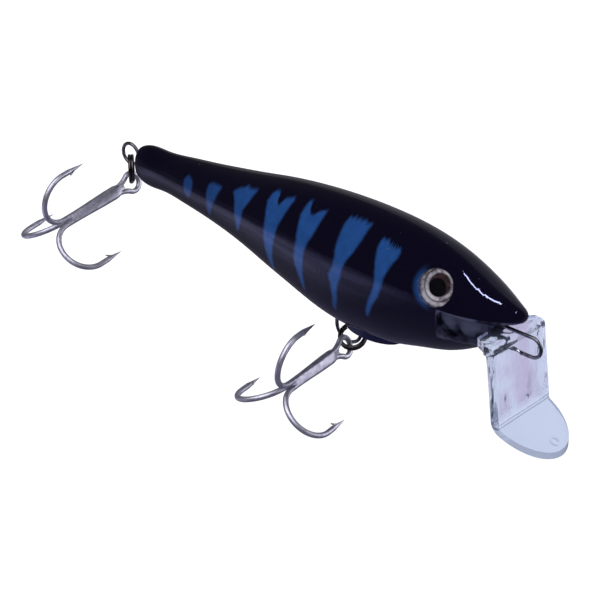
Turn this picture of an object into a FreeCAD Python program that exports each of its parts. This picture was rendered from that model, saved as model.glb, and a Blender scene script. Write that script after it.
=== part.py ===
import FreeCAD, Part
import math
import os

# A minnow-shaped crankbait: a hollow body in two moulded halves, a clear stepped diving lip held
# in the mouth, a wire line tie, and a treble hook on a split ring at the belly and at the tail.
# Millimetres. +X points from tail to nose, +Z to the back, -Y to the lure's right flank.
# The shapes are drawn with the nose tip at x = 0 and moved at the end, so that the origin of
# the finished part is the centre of the line tie's eye.

# ---- body ----
BODY_LENGTH = 151.0
BODY_DEPTH = 39.4
BODY_WIDTH = 26.4
WALL = 2.0
NOSE_ROUND = 3.0
TAIL_ROUND = 2.0
END_DRAW = 0.8
SECTION_POWER = 2.1
SECTION_POINTS = 16
NOSE_SECTIONS = 4
MIDDLE_SECTIONS = 15
TAIL_SECTIONS = 3

# Outline from nose to tail: share of the length, back line and belly line as shares of the depth,
# half width as a share of the width
BODY_OUTLINE = [
    (0.000, 0.045, -0.050, 0.100),
    (0.020, 0.058, -0.140, 0.160),
    (0.053, 0.095, -0.246, 0.300),
    (0.119, 0.232, -0.414, 0.405),
    (0.199, 0.342, -0.512, 0.466),
    (0.298, 0.400, -0.600, 0.500),
    (0.430, 0.405, -0.597, 0.492),
    (0.563, 0.358, -0.450, 0.439),
    (0.695, 0.270, -0.289, 0.348),
    (0.828, 0.197, -0.200, 0.244),
    (0.927, 0.162, -0.174, 0.165),
    (1.000, 0.131, -0.150, 0.130),
]

# ---- head: the solid moulding in front of the cavity, the mouth and the eyes ----
HEAD_SOLID = 31.0
TAIL_SOLID = 12.0
MOUTH_BACK = 22.5
MOUTH_TOP_BACK_Z = -1.1
MOUTH_TOP_FRONT_Z = -2.2
MOUTH_TOP_TIP_Z = -0.9
JAW_BACK_Z = -8.9
JAW_FRONT_Z = -10.4
JAW_FRONT_X = -7.4
MOUTH_DEPTH = 2.4
MOUTH_CORNER = 2.0
EYE_X = -24.2
EYE_Z = 4.6
EYE_TURN = 11.0
EYE_TILT = 20.0
EYE_DIAMETER = 10.7
EYE_DEPTH = 2.5
EYE_CLEARANCE = 0.08
EYE_FOIL_THICK = 0.3
EYE_PUPIL_DIAMETER = 5.2
EYE_PUPIL_THICK = 0.2
EYE_RIM_HEIGHT = 0.8
EYE_DOME_RISE = 1.0

# ---- diving lip ----
LIP_WIDTH = 23.4
LIP_THICK = 2.8
LIP_TOP_Z = -5.9
LIP_WALL_X = -1.8
LIP_RAKE = 3.2
LIP_CREASE_Z = -30.3
LIP_SCOOP_FALL = 24.0
LIP_SCOOP_THICK = 2.0
LIP_REACH = 14.8
LIP_SCOOP_START_X = 0.0
LIP_TOP_BEND = 1.6
LIP_HEEL_BEND = 5.0
LIP_CREASE_BEND = 0.8
LIP_TAPER_X = -5.2
LIP_TAPER_WIDTH = 14.0
TONGUE_SHOULDER_X = -9.4
TONGUE_END_X = -19.0
TONGUE_WIDTH = 8.6
TONGUE_CLEARANCE = 0.05
LIP_PIN_DIAMETER = 2.0
LIP_PIN_X = -15.5
PIN_CLEARANCE = 0.03
PIN_LENGTH = 9.0
GATE_MARK_DIAMETER = 2.9
GATE_MARK_RING = 0.4
GATE_MARK_RISE = 0.25
GATE_MARK_X = 12.0

# ---- wires ----
WIRE_DIAMETER = 1.1
WIRE_CLEARANCE = 0.05
WIRE_ANCHOR_BEND = 1.2
WIRE_ANCHOR_TURN = 1.6
TIE_RADIUS = 3.05
TIE_X = 2.6
TIE_LEG_END_X = -24.5
BELLY_LOOP_RADIUS = 4.75
BELLY_LOOP_X = -63.7
BELLY_LOOP_DROP = 3.45
BELLY_LEG_RISE = 11.0
TAIL_LOOP_RADIUS = 3.4
TAIL_LOOP_STANDOFF = 3.9
TAIL_LOOP_Z = 0.9
TAIL_LOOP_FORK = 2.0
TAIL_LEG_GAP = 0.3
TAIL_LEG_DEPTH = 8.5
BELLY_BOSS_LENGTH = 20.0
BELLY_BOSS_WIDTH = 10.0
BELLY_BOSS_RISE = 0.9
BELLY_BOSS_X = -54.0
BELLY_BLOCK_SIDE = 3.6

# ---- split rings ----
# SEAT is the angle round the hanger's loop where the ring hangs, YAW and PITCH aim the ring's
# normal, TURN and HOOK_SEAT are the angles round the ring of the hanger wire and of the hook's
# eye, and the two plays are the slack at each of those links.
RING_WIRE = 1.0
RING_LAY = 0.92
RING_SLIT = 0.25
BELLY_RING_RADIUS = 3.9
BELLY_RING_SEAT = 20.5
BELLY_RING_YAW = -65.7
BELLY_RING_PITCH = 52.8
BELLY_RING_TURN = 184.8
BELLY_RING_PLAY = 0.54
BELLY_HOOK_SEAT = 68.4
BELLY_HOOK_PLAY = 1.2
TAIL_RING_RADIUS = 4.2
TAIL_RING_SEAT = 92.1
TAIL_RING_YAW = 46.4
TAIL_RING_PITCH = 1.3
TAIL_RING_TURN = 279.4
TAIL_RING_PLAY = 0.97
TAIL_HOOK_SEAT = 53.0
TAIL_HOOK_PLAY = 1.3

# ---- treble hooks ----
HOOK_WIRE = 1.7
HOOK_LENGTH = 38.0
HOOK_BEND = 8.1
HOOK_POINT_LEG = 2.8
HOOK_POINT_TAPER = 6.0
HOOK_TIP_DIAMETER = 0.16
HOOK_EYE_RADIUS = 2.9
HOOK_FORK = 10.0
HOOK_SEAM = 0.12
SINGLE_SHANK_START = 8.4
BARB_LENGTH = 1.9
BARB_RISE = 0.75
BARB_WIDTH = 0.5
BARB_SETBACK = 0.6
BRAZE_DIAMETER = 2.7
BRAZE_START = 9.4
BRAZE_END = 27.5
BRAZE_CLEARANCE = 0.02
BELLY_HOOK_YAW = -81.1
BELLY_HOOK_PITCH = 2.4
BELLY_HOOK_ROLL = 8.5
TAIL_HOOK_YAW = -88.6
TAIL_HOOK_PITCH = -5.9
TAIL_HOOK_ROLL = 6.1

# ---- ballast and rattle ----
FRONT_BALLAST_DIAMETER = 9.0
FRONT_BALLAST_LENGTH = 15.0
FRONT_BALLAST_X = -40.0
FRONT_BALLAST_Z = -12.5
REAR_BALLAST_DIAMETER = 7.6
REAR_BALLAST_LENGTH = 11.0
REAR_BALLAST_X = -86.0
REAR_BALLAST_Z = -7.0
BALLAST_CLEARANCE = 0.08
RIB_THICK = 1.6
RIB_INSET = 3.0
RATTLE_BALL_DIAMETER = 5.0
RATTLE_BALLS = 3
RATTLE_BALL_GAP = 0.1
RATTLE_TRAVEL = 2.0
RATTLE_BORE = 5.5
RATTLE_TUBE_WALL = 0.7
RATTLE_PLUG = 1.5
RATTLE_X = -66.0
RATTLE_Z = 4.0
RATTLE_CLEARANCE = 0.08
PEG_DIAMETER = 2.4
PEG_LENGTH = 3.0
PEG_ROOT = 1.0
PEG_CLEARANCE = 0.05
PEG_POST = 5.6
PEG_STATIONS = [-31.0, -50.0, -96.0, -122.0]
PEG_DROP_FROM_BACK = 6.0

FAR = 400.0
TOUCH = 0.01
ORIGIN = FreeCAD.Vector(0, 0, 0)
X_AXIS = FreeCAD.Vector(1, 0, 0)
Y_AXIS = FreeCAD.Vector(0, 1, 0)
Z_AXIS = FreeCAD.Vector(0, 0, 1)
TIE_Z = LIP_TOP_Z + WIRE_DIAMETER / 2 + WIRE_CLEARANCE - TIE_RADIUS
TIE_CENTRE = FreeCAD.Vector(TIE_X, 0, TIE_Z)


# ---------------------------------------------------------------- small helpers
def vec(x, y, z):
    return FreeCAD.Vector(x, y, z)


def box(x0, x1, y0, y1, z0, z1):
    return Part.makeBox(x1 - x0, y1 - y0, z1 - z0, vec(x0, y0, z0))


def cylinder(diameter, length, start, direction):
    return Part.makeCylinder(diameter / 2, length, start, direction)


def arc(centre, radius, u, w, start, end):
    """An arc about centre in the plane of u and w, between two angles in degrees from u to w."""
    def at(angle):
        turn = math.radians(angle)
        return centre + u * (radius * math.cos(turn)) + w * (radius * math.sin(turn))
    return Part.Arc(at(start), at((start + end) / 2), at(end)).toShape()


def line(start, end):
    return Part.LineSegment(start, end).toShape()


def wire_solid(edges, diameter):
    """A round wire whose centre follows the given edges, end to end."""
    path = Part.Wire(edges)
    first = edges[0]
    start = first.firstVertex(True).Point
    heading = first.tangentAt(first.FirstParameter)
    profile = Part.Face(Part.Wire([Part.makeCircle(diameter / 2, start, heading)]))
    return path.makePipe(profile)


def heading_vector(yaw, pitch):
    yaw = math.radians(yaw)
    pitch = math.radians(pitch)
    return vec(math.cos(yaw) * math.cos(pitch), math.sin(yaw) * math.cos(pitch), math.sin(pitch))


def fuse(shapes):
    return shapes[0].multiFuse(shapes[1:]).removeSplitter() if len(shapes) > 1 else shapes[0]


# ---------------------------------------------------------------- body surface
def outline_value(share, column):
    """One column of the outline at a share of the length: a smooth cubic through the stations."""
    def slope(k):
        before = BODY_OUTLINE[max(k - 1, 0)]
        after = BODY_OUTLINE[min(k + 1, len(BODY_OUTLINE) - 1)]
        return (after[column] - before[column]) / (after[0] - before[0])
    share = min(max(share, 0.0), 1.0)
    spans = range(len(BODY_OUTLINE) - 1)
    k = max(i for i in spans if BODY_OUTLINE[i][0] <= share)
    left = BODY_OUTLINE[k]
    right = BODY_OUTLINE[k + 1]
    span = right[0] - left[0]
    t = (share - left[0]) / span
    rise = right[column] - left[column]
    start = slope(k) * span
    end = slope(k + 1) * span
    return left[column] + t * (start + t * (3 * rise - 2 * start - end + t * (start + end - 2 * rise)))


def end_factor(x):
    """How far the section has drawn in at the rounded nose and tail, 1 between them."""
    into_nose = 1 - min(-x / NOSE_ROUND, 1)
    into_tail = 1 - min((BODY_LENGTH + x) / TAIL_ROUND, 1)
    into = min(max(into_nose, into_tail, 0), 1)
    return 1 - END_DRAW * (1 - math.sqrt(1 - into * into))


def body_section(x, inset=0.0):
    """Centre height, half depth and half width of the body at x, drawn in by an inset."""
    share = -x / BODY_LENGTH
    back = BODY_DEPTH * outline_value(share, 1)
    belly = BODY_DEPTH * outline_value(share, 2)
    half = BODY_WIDTH * outline_value(share, 3)
    factor = end_factor(x)
    return (back + belly) / 2, (back - belly) / 2 * factor - inset, half * factor - inset


def back_z(x):
    centre, deep, _ = body_section(x)
    return centre + deep


def belly_z(x):
    centre, deep, _ = body_section(x)
    return centre - deep


def flank_y(x, z):
    """Half width of the body at a station and height."""
    centre, deep, half = body_section(x)
    return half * (1 - (abs(z - centre) / deep) ** SECTION_POWER) ** (1 / SECTION_POWER)


def section_wire(x, inset):
    """A closed, nearly elliptical section across the body."""
    centre, deep, half = body_section(x, inset)
    points = []
    for k in range(SECTION_POINTS):
        turn = 2 * math.pi * k / SECTION_POINTS
        across = math.copysign(abs(math.sin(turn)) ** (2 / SECTION_POWER), math.sin(turn))
        up = math.copysign(abs(math.cos(turn)) ** (2 / SECTION_POWER), math.cos(turn))
        points.append(vec(x, half * across, centre + deep * up))
    curve = Part.BSplineCurve()
    knots = [k / SECTION_POINTS for k in range(SECTION_POINTS + 1)]
    curve.interpolate(Points=points, PeriodicFlag=True, Parameters=knots)
    return Part.Wire([curve.toShape()])


def body_stations():
    """Where the sections stand, closer together where the nose and tail round off."""
    nose = [-NOSE_ROUND * (1 - math.cos(math.radians(90 * k / NOSE_SECTIONS))) for k in range(NOSE_SECTIONS)]
    middle_start = -NOSE_ROUND
    middle_end = TAIL_ROUND - BODY_LENGTH
    step = (middle_end - middle_start) / MIDDLE_SECTIONS
    middle = [middle_start + step * k for k in range(MIDDLE_SECTIONS)]
    tail_turns = [math.radians(90 * k / TAIL_SECTIONS) for k in range(TAIL_SECTIONS + 1)]
    tail = [middle_end - TAIL_ROUND * math.sin(turn) for turn in tail_turns]
    return nose + middle + tail


def body_solid():
    return Part.makeLoft([section_wire(x, 0.0) for x in body_stations()], True)


def inset_solid(front, back, inset, count):
    """The body drawn in by an inset, between two stations."""
    step = (back - front) / count
    return Part.makeLoft([section_wire(front + step * k, inset) for k in range(count + 1)], True)


# ---------------------------------------------------------------- what the halves are cut and built with
def cavity():
    return inset_solid(-HEAD_SOLID, TAIL_SOLID - BODY_LENGTH, WALL, 11)


def mouth_cut():
    """The open mouth: a gape through the front of the head and a recess along each flank."""
    corners = [
        (NOSE_ROUND, MOUTH_TOP_TIP_Z),
        (-2 * NOSE_ROUND, MOUTH_TOP_FRONT_Z),
        (-MOUTH_BACK, MOUTH_TOP_BACK_Z),
        (-MOUTH_BACK, JAW_BACK_Z),
        (JAW_FRONT_X, JAW_FRONT_Z),
        (JAW_FRONT_X, -BODY_DEPTH),
        (NOSE_ROUND, -BODY_DEPTH),
    ]
    points = [vec(x, -BODY_WIDTH, z) for x, z in corners]
    gape = Part.Face(Part.makePolygon(points + points[:1])).extrude(vec(0, 2 * BODY_WIDTH, 0))
    back_edges = [edge for edge in gape.Edges
                  if all(abs(v.X + MOUTH_BACK) < TOUCH for v in edge.Vertexes)
                  and abs(edge.Vertexes[0].Y - edge.Vertexes[-1].Y) > BODY_WIDTH]
    gape = gape.makeFillet(MOUTH_CORNER, back_edges)
    core = inset_solid(TONGUE_SHOULDER_X, -MOUTH_BACK - MOUTH_CORNER, MOUTH_DEPTH, 4)
    return gape.cut(core)


def eye_frame(side):
    """Centre of the eye's seat and its outward direction, side -1 for the right flank, 1 for the left."""
    outward = heading_vector(side * (90 - EYE_TURN), EYE_TILT)
    return vec(EYE_X, side * flank_y(EYE_X, EYE_Z), EYE_Z) - outward * EYE_DEPTH, outward


def eye_socket(side):
    seat, outward = eye_frame(side)
    return cylinder(EYE_DIAMETER + 2 * EYE_CLEARANCE, BODY_WIDTH, seat, outward)


def tongue(clearance):
    """The part of the lip that lies inside the mouth."""
    half = TONGUE_WIDTH / 2 + clearance
    return box(TONGUE_END_X - clearance, TONGUE_SHOULDER_X + LIP_THICK, -half, half,
               LIP_TOP_Z - LIP_THICK - clearance, LIP_TOP_Z + clearance)


def lip_pin(clearance):
    length = PIN_LENGTH + 2 * clearance
    middle_z = LIP_TOP_Z - LIP_THICK / 2
    return cylinder(LIP_PIN_DIAMETER + 2 * clearance, length, vec(LIP_PIN_X, -length / 2, middle_z), Y_AXIS)


def line_tie(clearance):
    """A U of wire round the front of the tongue, its legs turned up and down inside the head."""
    top = TIE_Z + TIE_RADIUS
    bottom = TIE_Z - TIE_RADIUS
    bend = WIRE_ANCHOR_BEND
    end = TIE_LEG_END_X
    edges = [
        line(vec(end - bend, 0, top + bend + WIRE_ANCHOR_TURN), vec(end - bend, 0, top + bend)),
        arc(vec(end, 0, top + bend), bend, X_AXIS, Z_AXIS, 180, 270),
        line(vec(end, 0, top), vec(TIE_X, 0, top)),
        arc(TIE_CENTRE, TIE_RADIUS, X_AXIS, Z_AXIS, 90, -90),
        line(vec(TIE_X, 0, bottom), vec(end, 0, bottom)),
        arc(vec(end, 0, bottom - bend), bend, X_AXIS, Z_AXIS, 90, 180),
        line(vec(end - bend, 0, bottom - bend), vec(end - bend, 0, bottom - bend - WIRE_ANCHOR_TURN)),
    ]
    return wire_solid(edges, WIRE_DIAMETER + 2 * clearance)


def belly_loop_centre():
    return vec(BELLY_LOOP_X, 0, belly_z(BELLY_LOOP_X) - BELLY_LOOP_DROP)


def belly_hanger(clearance):
    """A U of wire standing out of the belly, its legs turned fore and aft inside the body."""
    centre = belly_loop_centre()
    radius = BELLY_LOOP_RADIUS
    top = belly_z(BELLY_LOOP_X) + BELLY_LEG_RISE
    bend = WIRE_ANCHOR_BEND
    front = centre.x + radius
    rear = centre.x - radius
    edges = [
        line(vec(front + bend + WIRE_ANCHOR_TURN, 0, top + bend), vec(front + bend, 0, top + bend)),
        arc(vec(front + bend, 0, top), bend, X_AXIS, Z_AXIS, 90, 180),
        line(vec(front, 0, top), vec(front, 0, centre.z)),
        arc(centre, radius, X_AXIS, Z_AXIS, 0, -180),
        line(vec(rear, 0, centre.z), vec(rear, 0, top)),
        arc(vec(rear - bend, 0, top), bend, X_AXIS, Z_AXIS, 0, 90),
        line(vec(rear - bend, 0, top + bend), vec(rear - bend - WIRE_ANCHOR_TURN, 0, top + bend)),
    ]
    return wire_solid(edges, WIRE_DIAMETER + 2 * clearance)


def fork(loop_radius, fork_radius, leg_offset):
    """Distance from a loop's centre to its parallel legs, and the angle where loop meets fork arc."""
    reach = loop_radius + fork_radius
    distance = math.sqrt(reach ** 2 - (leg_offset + fork_radius) ** 2)
    return distance, math.degrees(math.asin((leg_offset + fork_radius) / reach))


def tail_loop_centre():
    return vec(-BODY_LENGTH - TAIL_LOOP_STANDOFF, 0, TAIL_LOOP_Z)


def tail_hanger(clearance):
    """A pear-shaped loop behind the tail, its two legs side by side in the tail, ends turned out."""
    centre = tail_loop_centre()
    offset = WIRE_DIAMETER / 2 + TAIL_LEG_GAP / 2
    reach, meet = fork(TAIL_LOOP_RADIUS, TAIL_LOOP_FORK, offset)
    start = centre.x + reach
    end = TAIL_LEG_DEPTH - BODY_LENGTH
    bend = WIRE_ANCHOR_BEND
    fork_up = vec(start, 0, centre.z + offset + TAIL_LOOP_FORK)
    fork_down = vec(start, 0, centre.z - offset - TAIL_LOOP_FORK)
    up = centre.z + offset
    down = centre.z - offset
    edges = [
        line(vec(end + bend, 0, up + bend + WIRE_ANCHOR_TURN), vec(end + bend, 0, up + bend)),
        arc(vec(end, 0, up + bend), bend, X_AXIS, Z_AXIS, 0, -90),
        line(vec(end, 0, up), vec(start, 0, up)),
        arc(fork_up, TAIL_LOOP_FORK, X_AXIS, Z_AXIS, -90, -180 + meet),
        arc(centre, TAIL_LOOP_RADIUS, X_AXIS, Z_AXIS, meet, 360 - meet),
        arc(fork_down, TAIL_LOOP_FORK, X_AXIS, Z_AXIS, 180 - meet, 90),
        line(vec(start, 0, down), vec(end, 0, down)),
        arc(vec(end, 0, down - bend), bend, X_AXIS, Z_AXIS, 90, 0),
        line(vec(end + bend, 0, down - bend), vec(end + bend, 0, down - bend - WIRE_ANCHOR_TURN)),
    ]
    return wire_solid(edges, WIRE_DIAMETER + 2 * clearance)


# ---------------------------------------------------------------- ballast, rattle and pegs
def ballast(diameter, length, x, z, clearance):
    total = length + 2 * clearance
    return cylinder(diameter + 2 * clearance, total, vec(x - total / 2, 0, z), X_AXIS)


def front_ballast(clearance=0.0):
    return ballast(FRONT_BALLAST_DIAMETER, FRONT_BALLAST_LENGTH, FRONT_BALLAST_X, FRONT_BALLAST_Z, clearance)


def rear_ballast(clearance=0.0):
    return ballast(REAR_BALLAST_DIAMETER, REAR_BALLAST_LENGTH, REAR_BALLAST_X, REAR_BALLAST_Z, clearance)


def rattle_chamber():
    """Length and diameter of the space that the balls run in."""
    row = RATTLE_BALLS * RATTLE_BALL_DIAMETER + (RATTLE_BALLS - 1) * RATTLE_BALL_GAP
    return row + 2 * RATTLE_TRAVEL + 2 * RATTLE_BALL_GAP, RATTLE_BORE


def rattle_outside(clearance=0.0):
    length, bore = rattle_chamber()
    total = length + 2 * RATTLE_PLUG + 2 * clearance
    diameter = bore + 2 * RATTLE_TUBE_WALL + 2 * clearance
    return cylinder(diameter, total, vec(RATTLE_X - total / 2, 0, RATTLE_Z), X_AXIS)


def rattle_tube():
    """A tube closed at its rear end and open at the front for the cap."""
    length, bore = rattle_chamber()
    start = vec(RATTLE_X - length / 2, 0, RATTLE_Z)
    return rattle_outside().cut(cylinder(bore, length + RATTLE_PLUG + 1, start, X_AXIS))


def rattle_tube_cap():
    length, bore = rattle_chamber()
    return cylinder(bore, RATTLE_PLUG, vec(RATTLE_X + length / 2, 0, RATTLE_Z), X_AXIS)


def rattle_balls():
    pitch = RATTLE_BALL_DIAMETER + RATTLE_BALL_GAP
    first = RATTLE_X - pitch * (RATTLE_BALLS - 1) / 2
    low = RATTLE_Z - (RATTLE_BORE - RATTLE_BALL_DIAMETER) / 2 + RATTLE_BALL_GAP
    radius = RATTLE_BALL_DIAMETER / 2
    centres = [vec(first + pitch * k, 0, low) for k in range(RATTLE_BALLS)]
    return Part.makeCompound([Part.makeSphere(radius, centre) for centre in centres])


def rib(x, z0, z1):
    return box(x - RIB_THICK / 2, x + RIB_THICK / 2, -BODY_WIDTH, BODY_WIDTH, z0, z1)


def cavity_blocks():
    """Ribs round the ballast and the rattle tube, the block round the belly wire, the peg posts."""
    blocks = []
    cradles = [
        (FRONT_BALLAST_X, FRONT_BALLAST_LENGTH, FRONT_BALLAST_Z + FRONT_BALLAST_DIAMETER / 2 + RIB_THICK),
        (REAR_BALLAST_X, REAR_BALLAST_LENGTH, REAR_BALLAST_Z + REAR_BALLAST_DIAMETER / 2 + RIB_THICK),
    ]
    for x, length, top in cradles:
        for end in (-1, 1):
            blocks.append(rib(x + end * (length / 2 - RIB_INSET), -BODY_DEPTH, top))
    length, bore = rattle_chamber()
    tube_low = RATTLE_Z - bore / 2 - RATTLE_TUBE_WALL - RIB_THICK
    for end in (-1, 1):
        blocks.append(rib(RATTLE_X + end * (length / 2 - RIB_INSET), tube_low, BODY_DEPTH))
    wire_side = BELLY_LOOP_RADIUS + WIRE_ANCHOR_BEND + WIRE_ANCHOR_TURN + RIB_THICK
    wire_top = belly_z(BELLY_LOOP_X) + BELLY_LEG_RISE + WIRE_ANCHOR_BEND + RIB_THICK
    blocks.append(box(BELLY_LOOP_X - wire_side, BELLY_LOOP_X + wire_side,
                      -BELLY_BLOCK_SIDE, BELLY_BLOCK_SIDE, -BODY_DEPTH, wire_top))
    for x in PEG_STATIONS:
        blocks.append(cylinder(PEG_POST, 2 * BODY_WIDTH, peg_point(x) - Y_AXIS * BODY_WIDTH, Y_AXIS))
    return blocks


def peg_point(x):
    return vec(x, 0, back_z(x) - PEG_DROP_FROM_BACK)


def pegs(clearance):
    """The locating pegs across the joint, from a root inside the right half to their ends in the left."""
    diameter = PEG_DIAMETER + 2 * clearance
    length = PEG_ROOT + PEG_LENGTH + clearance
    return [cylinder(diameter, length, peg_point(x) - Y_AXIS * PEG_ROOT, Y_AXIS) for x in PEG_STATIONS]


def belly_boss():
    """A shallow oval boss on the belly in front of the hanger wire."""
    low = vec(BELLY_BOSS_X, 0, belly_z(BELLY_BOSS_X) - BELLY_BOSS_RISE)
    rim = Part.Ellipse(low, BELLY_BOSS_LENGTH / 2, BELLY_BOSS_WIDTH / 2)
    return Part.Face(Part.Wire([rim.toShape()])).extrude(Z_AXIS * (BODY_DEPTH / 2))


def body_halves():
    """The two moulded halves, split on the middle plane and pegged together."""
    hollow = cavity().cut(fuse(cavity_blocks()))
    skin = body_solid().fuse(belly_boss())
    removed = [
        hollow,
        mouth_cut(),
        eye_socket(-1),
        eye_socket(1),
        tongue(TONGUE_CLEARANCE),
        lip_pin(PIN_CLEARANCE),
        line_tie(WIRE_CLEARANCE),
        belly_hanger(WIRE_CLEARANCE),
        tail_hanger(WIRE_CLEARANCE),
        front_ballast(BALLAST_CLEARANCE),
        rear_ballast(BALLAST_CLEARANCE),
        rattle_outside(RATTLE_CLEARANCE),
    ]
    whole = skin.cut(removed)
    right = whole.common(box(-FAR, FAR, -FAR, 0, -FAR, FAR))
    left = whole.common(box(-FAR, FAR, 0, FAR, -FAR, FAR))
    right = right.fuse(pegs(0.0))
    left = left.cut(pegs(PEG_CLEARANCE))
    return right, left


# ---------------------------------------------------------------- eyes
def eye_piece(edges, side):
    """A turned piece of the eye, drawn in the XZ plane with the seat at z = 0."""
    piece = Part.Face(Part.Wire(edges)).revolve(ORIGIN, Z_AXIS, 360)
    seat, outward = eye_frame(side)
    piece.Placement = FreeCAD.Placement(seat, FreeCAD.Rotation(Z_AXIS, outward))
    return piece


def eye_disc(side, radius, low, high):
    """A flat disc of the eye between two heights above the seat."""
    corners = [vec(0, 0, low), vec(radius, 0, low), vec(radius, 0, high), vec(0, 0, high)]
    return eye_piece([line(corners[k - 1], corners[k]) for k in range(len(corners))], side)


def eye_foil(side):
    return eye_disc(side, EYE_DIAMETER / 2, 0, EYE_FOIL_THICK)


def eye_pupil(side):
    return eye_disc(side, EYE_PUPIL_DIAMETER / 2, EYE_FOIL_THICK, EYE_FOIL_THICK + EYE_PUPIL_THICK)


def eye_lens(side):
    """A clear domed cap over the foil, hollowed for the pupil."""
    radius = EYE_DIAMETER / 2
    low = EYE_FOIL_THICK
    rim = low + EYE_RIM_HEIGHT
    crown = rim + EYE_DOME_RISE
    dome_radius = (radius ** 2 + EYE_DOME_RISE ** 2) / (2 * EYE_DOME_RISE)
    dome_centre = vec(0, 0, crown - dome_radius)
    rim_angle = math.degrees(math.asin(radius / dome_radius))
    hollow_radius = EYE_PUPIL_DIAMETER / 2 + EYE_CLEARANCE
    hollow_top = low + EYE_PUPIL_THICK + EYE_CLEARANCE
    edges = [
        line(vec(0, 0, hollow_top), vec(hollow_radius, 0, hollow_top)),
        line(vec(hollow_radius, 0, hollow_top), vec(hollow_radius, 0, low)),
        line(vec(hollow_radius, 0, low), vec(radius, 0, low)),
        line(vec(radius, 0, low), vec(radius, 0, rim)),
        arc(dome_centre, dome_radius, Z_AXIS, X_AXIS, rim_angle, 0),
        line(vec(0, 0, crown), vec(0, 0, hollow_top)),
    ]
    return eye_piece(edges, side)


# ---------------------------------------------------------------- diving lip
def scoop_z(x):
    """Height of the scoop's upper face, which falls away forward from the crease."""
    return LIP_CREASE_Z - math.tan(math.radians(LIP_SCOOP_FALL)) * (x - LIP_WALL_X - LIP_RAKE)


def lip_side_profile():
    """The lip seen from the side: a plate out of the mouth, a raked wall and a falling scoop."""
    rake = LIP_RAKE / (LIP_TOP_Z - LIP_CREASE_Z)
    fall = math.tan(math.radians(LIP_SCOOP_FALL))
    wall_back = LIP_WALL_X - LIP_THICK * math.sqrt(1 + rake ** 2)
    drop = LIP_SCOOP_THICK * math.sqrt(1 + fall ** 2)
    under_z = LIP_TOP_Z - LIP_THICK
    heel_x = (wall_back + rake * (LIP_TOP_Z + drop - scoop_z(0))) / (1 - rake * fall)
    return [
        (TONGUE_SHOULDER_X, LIP_TOP_Z),
        (LIP_WALL_X, LIP_TOP_Z),
        (LIP_WALL_X + LIP_RAKE, LIP_CREASE_Z),
        (LIP_REACH, scoop_z(LIP_REACH)),
        (LIP_REACH, scoop_z(LIP_REACH) - drop),
        (heel_x, scoop_z(heel_x) - drop),
        (wall_back + rake * LIP_THICK, under_z),
        (TONGUE_SHOULDER_X, under_z),
    ]


def lip_plan():
    """The lip seen from above: tapered at the mouth, straight along the wall, round in front."""
    half = LIP_WIDTH / 2
    taper = LIP_TAPER_WIDTH / 2
    rim = Part.Ellipse(vec(LIP_SCOOP_START_X, 0, -FAR), LIP_REACH - LIP_SCOOP_START_X, half)
    front = Part.Face(Part.Wire([rim.toShape()]))
    corners = [
        (TONGUE_SHOULDER_X, -taper),
        (LIP_TAPER_X, -half),
        (LIP_SCOOP_START_X, -half),
        (LIP_SCOOP_START_X, half),
        (LIP_TAPER_X, half),
        (TONGUE_SHOULDER_X, taper),
    ]
    points = [vec(x, y, -FAR) for x, y in corners]
    behind = Part.Face(Part.makePolygon(points + points[:1]))
    rise = Z_AXIS * (2 * FAR)
    return front.extrude(rise).fuse(behind.extrude(rise))


def bend_edges(solid, x, z):
    """Edges of the lip that run across it through a corner of the side profile."""
    return [edge for edge in solid.Edges
            if all(abs(v.X - x) < TOUCH and abs(v.Z - z) < TOUCH for v in edge.Vertexes)]


def gate_mark():
    """The small raised ring that the mould's gate leaves on the scoop."""
    fall = math.radians(LIP_SCOOP_FALL)
    upward = vec(math.sin(fall), 0, math.cos(fall))
    start = vec(GATE_MARK_X, 0, scoop_z(GATE_MARK_X)) - upward * GATE_MARK_RISE
    ring = cylinder(GATE_MARK_DIAMETER, 2 * GATE_MARK_RISE, start, upward)
    return ring.cut(cylinder(GATE_MARK_DIAMETER - 2 * GATE_MARK_RING, 2 * GATE_MARK_RISE, start, upward))


def diving_lip():
    corners = lip_side_profile()
    points = [vec(x, -LIP_WIDTH / 2, z) for x, z in corners]
    solid = Part.Face(Part.makePolygon(points + points[:1])).extrude(vec(0, LIP_WIDTH, 0))
    for index, radius in ((1, LIP_TOP_BEND), (2, LIP_CREASE_BEND), (5, LIP_HEEL_BEND), (6, LIP_CREASE_BEND)):
        solid = solid.makeFillet(radius, bend_edges(solid, *corners[index]))
    solid = solid.common(lip_plan()).fuse([tongue(0.0), gate_mark()])
    return solid.cut([line_tie(WIRE_CLEARANCE), lip_pin(PIN_CLEARANCE)])


# ---------------------------------------------------------------- split rings and treble hooks
def ring_frame(yaw, pitch):
    """The ring's normal and two directions in its plane."""
    normal = heading_vector(yaw, pitch)
    across = normal.cross(Z_AXIS).normalize()
    return normal, across, normal.cross(across)


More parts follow.
